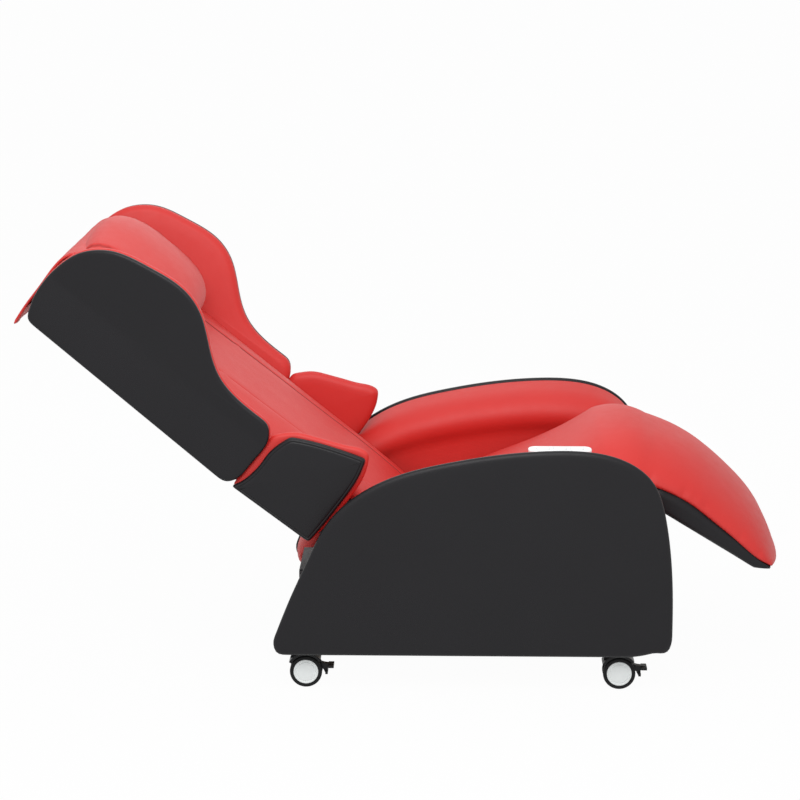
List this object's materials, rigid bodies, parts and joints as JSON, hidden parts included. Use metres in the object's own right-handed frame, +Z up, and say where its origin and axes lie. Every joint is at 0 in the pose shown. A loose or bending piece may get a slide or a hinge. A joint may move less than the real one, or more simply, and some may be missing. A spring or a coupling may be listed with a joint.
{
  "type": "electric massage recliner",
  "caption": "Red and black electric massage recliner on twin-wheel casters: padded arms, reclining back with wings, side flaps and head pillow, and a lifting footrest.",
  "frame": {"origin": "Middle of the whole box's footprint, on the floor under the casters", "axes": "+X runs from the backrest to the footrest, the way the sitter faces; +Y is the sitter's left; +Z is up. The two sides mirror in the XZ plane, but for the control pod, the actuators and the power box's inlet."},
  "size_m": [1.6632, 0.76, 0.9565],
  "materials": {
    "red_leather": "smooth semi-gloss synthetic leather, sewn",
    "black_leather": "smooth satin synthetic leather, sewn",
    "frame_steel": "black powder coat",
    "plated_steel": "zinc plated",
    "plywood": "bare plywood, hidden under upholstery",
    "white_gloss": "gloss white",
    "grey_plastic": "fine matt",
    "light_plastic": "light grey, slight gloss",
    "black_plastic": "fine matt",
    "tyre_rubber": "smooth tread"
  },
  "bodies": {
    "base": {"base_frame": "frame_steel", "seat_board": "plywood", "seat_cushion": "red_leather", "arm_cores": "plywood", "right_arm_cover": "black_leather", "left_arm_cover": "black_leather", "right_arm_pad": "red_leather", "left_arm_pad": "red_leather", "caster_plates": "plated_steel", "arm_bolts": "plated_steel", "hinge_pins": "plated_steel", "control_pod": "white_gloss", "power_box": "black_plastic", "power_inlet": "black_plastic", "air_pump": "black_plastic", "back_actuator_body": "black_plastic", "leg_actuator_body": "black_plastic"},
    "backrest": {"back_frame": "frame_steel", "guide_rails": "plated_steel", "back_cushion": "red_leather", "back_cover": "black_leather", "head_pillow": "red_leather", "right_wing_shell": "black_leather", "left_wing_shell": "black_leather", "right_wing_pad": "red_leather", "left_wing_pad": "red_leather", "right_flap_shell": "black_leather", "left_flap_shell": "black_leather", "right_flap_pad": "red_leather", "left_flap_pad": "red_leather"},
    "massage_carriage": {"carriage_chassis": "frame_steel", "knead_motor": "plated_steel"},
    "kneader": {"knead_shaft": "plated_steel", "massage_rollers": "grey_plastic"},
    "footrest": {"footrest_frame": "frame_steel", "footrest_cushion": "red_leather", "footrest_cover": "black_leather"},
    "back_rod": {"back_actuator_rod": "plated_steel"},
    "leg_rod": {"leg_actuator_rod": "plated_steel"},
    "recline_button": {"recline_button": "grey_plastic"},
    "massage_button": {"massage_button": "grey_plastic"},
    "footrest_button": {"footrest_button": "grey_plastic"},
    "power_switch": {"power_switch": "black_plastic"},
    "rear_right_caster": {"rear_right_fork": "black_plastic"},
    "rear_right_wheel": {"rear_right_tyres": "tyre_rubber", "rear_right_hubs": "light_plastic"},
    "rear_right_brake": {"rear_right_brake": "black_plastic"},
    "rear_left_caster": {"rear_left_fork": "black_plastic"},
    "rear_left_wheel": {"rear_left_tyres": "tyre_rubber", "rear_left_hubs": "light_plastic"},
    "rear_left_brake": {"rear_left_brake": "black_plastic"},
    "front_right_caster": {"front_right_fork": "black_plastic"},
    "front_right_wheel": {"front_right_tyres": "tyre_rubber", "front_right_hubs": "light_plastic"},
    "front_right_brake": {"front_right_brake": "black_plastic"},
    "front_left_caster": {"front_left_fork": "black_plastic"},
    "front_left_wheel": {"front_left_tyres": "tyre_rubber", "front_left_hubs": "light_plastic"},
    "front_left_brake": {"front_left_brake": "black_plastic"}
  },
  "joints": [
    {"name": "back_recline", "type": "hinge", "parent": "base", "child": "backrest", "pos_m": [0.0404, 0, 0.26], "axis": [0, 1, 0], "range_deg": [0, 34]},
    {"name": "footrest_lift", "type": "hinge", "parent": "base", "child": "footrest", "pos_m": [0.4734, 0, 0.388], "axis": [0, 1, 0], "range_deg": [0, 38]},
    {"name": "back_rod_slide", "type": "slide", "parent": "base", "child": "back_rod", "axis": [1, 0, 0], "range_m": [-0.047, 0]},
    {"name": "leg_rod_slide", "type": "slide", "parent": "base", "child": "leg_rod", "axis": [0.9354, 0, 0.3535], "range_m": [-0.0523, 0]},
    {"name": "carriage_travel", "type": "slide", "parent": "backrest", "child": "massage_carriage", "axis": [-0.7716, 0, 0.6361], "range_m": [-0.035, 0.28]},
    {"name": "knead_spin", "type": "hinge", "parent": "massage_carriage", "child": "kneader", "pos_m": [-0.25253, 0, 0.44704], "axis": [0, 1, 0], "continuous": true},
    {"name": "recline_button_press", "type": "slide", "parent": "base", "child": "recline_button", "axis": [0, 0, -1], "range_m": [0, 0.0015], "stiffness_N_per_m": 400, "springref_m": -0.001},
    {"name": "massage_button_press", "type": "slide", "parent": "base", "child": "massage_button", "axis": [0, 0, -1], "range_m": [0, 0.0015], "stiffness_N_per_m": 400, "springref_m": -0.001},
    {"name": "footrest_button_press", "type": "slide", "parent": "base", "child": "footrest_button", "axis": [0, 0, -1], "range_m": [0, 0.0015], "stiffness_N_per_m": 400, "springref_m": -0.001},
    {"name": "power_switch_rock", "type": "hinge", "parent": "base", "child": "power_switch", "pos_m": [-0.2351, -0.035, 0.1611], "axis": [0, 1, 0], "range_deg": [0, 20]},
    {"name": "rear_right_swivel", "type": "hinge", "parent": "base", "child": "rear_right_caster", "pos_m": [-0.2346, -0.32, 0.08], "axis": [0, 0, 1], "continuous": true},
    {"name": "rear_right_roll", "type": "hinge", "parent": "rear_right_caster", "child": "rear_right_wheel", "pos_m": [-0.2106, -0.32, 0.035], "axis": [0, 1, 0], "continuous": true},
    {"name": "rear_right_brake_tilt", "type": "hinge", "parent": "rear_right_caster", "child": "rear_right_brake", "pos_m": [-0.1906, -0.32, 0.05], "axis": [0, 1, 0], "range_deg": [-15, 0]},
    {"name": "rear_left_swivel", "type": "hinge", "parent": "base", "child": "rear_left_caster", "pos_m": [-0.2346, 0.32, 0.08], "axis": [0, 0, 1], "continuous": true},
    {"name": "rear_left_roll", "type": "hinge", "parent": "rear_left_caster", "child": "rear_left_wheel", "pos_m": [-0.2106, 0.32, 0.035], "axis": [0, 1, 0], "continuous": true},
    {"name": "rear_left_brake_tilt", "type": "hinge", "parent": "rear_left_caster", "child": "rear_left_brake", "pos_m": [-0.1906, 0.32, 0.05], "axis": [0, 1, 0], "range_deg": [-15, 0]},
    {"name": "front_right_swivel", "type": "hinge", "parent": "base", "child": "front_right_caster", "pos_m": [0.4424, -0.32, 0.08], "axis": [0, 0, 1], "continuous": true},
    {"name": "front_right_roll", "type": "hinge", "parent": "front_right_caster", "child": "front_right_wheel", "pos_m": [0.4664, -0.32, 0.035], "axis": [0, 1, 0], "continuous": true},
    {"name": "front_right_brake_tilt", "type": "hinge", "parent": "front_right_caster", "child": "front_right_brake", "pos_m": [0.4864, -0.32, 0.05], "axis": [0, 1, 0], "range_deg": [-15, 0]},
    {"name": "front_left_swivel", "type": "hinge", "parent": "base", "child": "front_left_caster", "pos_m": [0.4424, 0.32, 0.08], "axis": [0, 0, 1], "continuous": true},
    {"name": "front_left_roll", "type": "hinge", "parent": "front_left_caster", "child": "front_left_wheel", "pos_m": [0.4664, 0.32, 0.035], "axis": [0, 1, 0], "continuous": true},
    {"name": "front_left_brake_tilt", "type": "hinge", "parent": "front_left_caster", "child": "front_left_brake", "pos_m": [0.4864, 0.32, 0.05], "axis": [0, 1, 0], "range_deg": [-15, 0]}
  ],
  "couplings": [
    {"joint": "back_rod_slide", "follows": "back_recline", "m_per_rad": -0.078831},
    {"joint": "leg_rod_slide", "follows": "footrest_lift", "m_per_rad": -0.078542}
  ]
}
